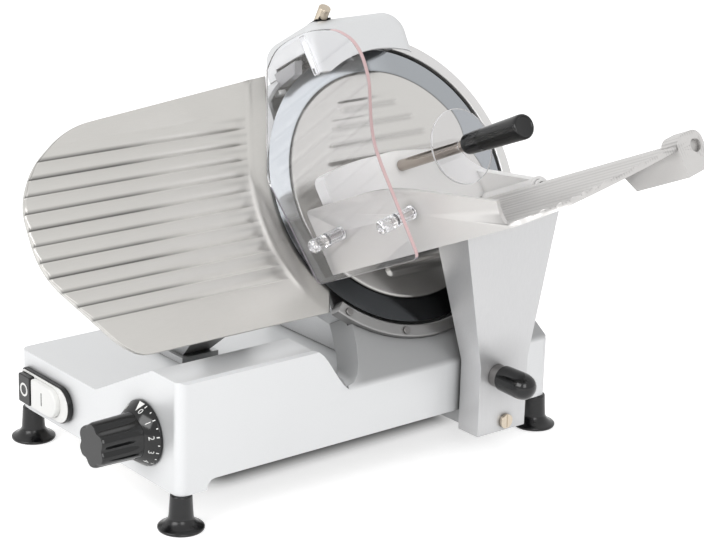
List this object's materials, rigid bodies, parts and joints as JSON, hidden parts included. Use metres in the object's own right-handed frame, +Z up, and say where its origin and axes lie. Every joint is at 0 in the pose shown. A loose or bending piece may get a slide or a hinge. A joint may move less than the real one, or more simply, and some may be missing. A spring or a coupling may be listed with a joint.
{
  "type": "electric gravity-feed meat slicer",
  "caption": "Bench slicer: tilted round blade in a ring guard, ribbed gauge plate, sliding tray with pusher and clear hand guard, push-button switch and rubber feet.",
  "frame": {"origin": "centre of the sole of the front right rubber foot, on the table", "axes": "+X towards the carriage side, +Y along the carriage travel away from the operator, +Z up"},
  "size_m": [0.5771, 0.603, 0.488],
  "materials": {
    "cast_aluminium": "satin anodised casting",
    "brushed_aluminium": "brushed and anodised",
    "blade_steel": "ground and polished",
    "polished_steel": "polished",
    "nickel": "nickel plated",
    "black_plastic": "glossy moulded",
    "white_plastic": "glossy moulded",
    "clear_plastic": "clear acrylic",
    "black_rubber": "moulded rubber",
    "dark_steel": "dark machined steel",
    "abrasive": "bonded abrasive grit",
    "circuit_board": "coated laminate",
    "nylon": "natural nylon"
  },
  "bodies": {
    "machine": {"base_housing": "cast_aluminium", "bottom_cover": "brushed_aluminium", "foot_front_right": "black_rubber", "foot_front_left": "black_rubber", "foot_rear_right": "black_rubber", "foot_rear_left": "black_rubber", "switch_bezel": "black_plastic", "gauge_guide_bar": "polished_steel", "control_board": "circuit_board", "motor_capacitor": "dark_steel", "cable_gland": "black_plastic", "blade_housing": "cast_aluminium", "ring_guard": "cast_aluminium", "ring_guard_screw_1": "polished_steel", "ring_guard_screw_2": "polished_steel", "blade_cover": "brushed_aluminium", "cover_tie_rod": "polished_steel", "spindle_bearing_front": "polished_steel", "spindle_bearing_rear": "polished_steel", "drive_belt": "black_rubber", "motor": "dark_steel", "motor_cover": "cast_aluminium", "slice_deflector": "polished_steel", "sharpener_hood": "cast_aluminium", "stone_bracket": "polished_steel", "slide_bar": "polished_steel", "roller_track": "polished_steel"},
    "on_button": {"on_button": "white_plastic"},
    "off_button": {"off_button": "black_plastic"},
    "thickness_control": {"thickness_knob": "black_plastic", "thickness_cam": "polished_steel"},
    "gauge": {"gauge_plate": "brushed_aluminium", "gauge_bracket": "cast_aluminium"},
    "blade_set": {"blade": "blade_steel", "blade_spindle": "polished_steel", "blade_pulley": "dark_steel"},
    "motor_rotor": {"motor_shaft": "polished_steel", "motor_pulley": "dark_steel"},
    "truing_wheel": {"truing_stone": "abrasive"},
    "grinding_wheel": {"grinding_stone": "abrasive"},
    "sharpener_pin": {"sharpener_pin": "nickel"},
    "carriage": {"carriage_arm": "cast_aluminium", "slide_block": "cast_aluminium", "roller_axle": "polished_steel", "arm_screw": "nickel", "carriage_tray": "brushed_aluminium", "pusher_rod": "polished_steel", "hand_guard": "clear_plastic", "guard_spacer_inner": "clear_plastic", "guard_spacer_outer": "clear_plastic", "guard_knob_inner": "clear_plastic", "guard_knob_outer": "clear_plastic"},
    "roller": {"slide_roller": "nylon"},
    "lock_knob": {"lock_knob_shaft": "polished_steel", "lock_knob_cap": "black_plastic"},
    "pusher_slider": {"pusher_sleeve": "polished_steel"},
    "pusher": {"pusher_plate": "cast_aluminium", "pusher_shaft": "polished_steel", "pusher_grip": "black_plastic", "thumb_guard": "clear_plastic"}
  },
  "joints": [
    {"name": "on_press", "type": "slide", "parent": "machine", "child": "on_button", "axis": [0, 1, 0], "range_m": [0, 0.003], "stiffness_N_per_m": 500},
    {"name": "off_press", "type": "slide", "parent": "machine", "child": "off_button", "axis": [0, 1, 0], "range_m": [0, 0.003], "stiffness_N_per_m": 500},
    {"name": "thickness_turn", "type": "hinge", "parent": "machine", "child": "thickness_control", "pos_m": [-0.051, -0.02, 0.086], "axis": [0, -1, 0], "range_deg": [0, 330]},
    {"name": "gauge_slide", "type": "slide", "parent": "machine", "child": "gauge", "axis": [-1, 0, 0], "range_m": [0, 0.0171]},
    {"name": "blade_spin", "type": "hinge", "parent": "machine", "child": "blade_set", "pos_m": [-0.0855, 0.326, 0.28], "axis": [0.8695, 0, 0.4939], "continuous": true},
    {"name": "motor_spin", "type": "hinge", "parent": "machine", "child": "motor_rotor", "pos_m": [-0.03364, 0.326, 0.1887], "axis": [0.8695, 0, 0.4939], "continuous": true},
    {"name": "truing_spin", "type": "hinge", "parent": "machine", "child": "truing_wheel", "pos_m": [-0.15244, 0.296, 0.41909], "axis": [0.8695, 0, 0.4939], "continuous": true},
    {"name": "grinding_spin", "type": "hinge", "parent": "machine", "child": "grinding_wheel", "pos_m": [-0.17504, 0.34, 0.40625], "axis": [0.8695, 0, 0.4939], "continuous": true},
    {"name": "sharpener_press", "type": "slide", "parent": "machine", "child": "sharpener_pin", "axis": [-0.4602, 0, -0.8878], "range_m": [0, 0.008], "stiffness_N_per_m": 400},
    {"name": "carriage_travel", "type": "slide", "parent": "machine", "child": "carriage", "axis": [0, 1, 0], "range_m": [-0.24, 0.04]},
    {"name": "roller_spin", "type": "hinge", "parent": "carriage", "child": "roller", "pos_m": [-0.101, 0.379, 0.0477], "axis": [1, 0, 0], "continuous": true},
    {"name": "lock_turn", "type": "hinge", "parent": "carriage", "child": "lock_knob", "pos_m": [0.05, 0.371, 0.094], "axis": [1, 0, 0], "range_deg": [0, 360]},
    {"name": "pusher_slide", "type": "slide", "parent": "carriage", "child": "pusher_slider", "axis": [0.9135, 0, 0.4067], "range_m": [0, 0.196]},
    {"name": "pusher_swing", "type": "hinge", "parent": "pusher_slider", "child": "pusher", "pos_m": [-0.03636, 0.41129, 0.25497], "axis": [-0.9135, 0, -0.4067], "range_deg": [0, 75]}
  ],
  "couplings": [
    {"joint": "gauge_slide", "follows": "thickness_turn", "m_per_rad": 0.0029516},
    {"joint": "motor_spin", "follows": "blade_spin", "ratio": 2.875},
    {"joint": "roller_spin", "follows": "carriage_travel", "rad_per_m": 125}
  ]
}
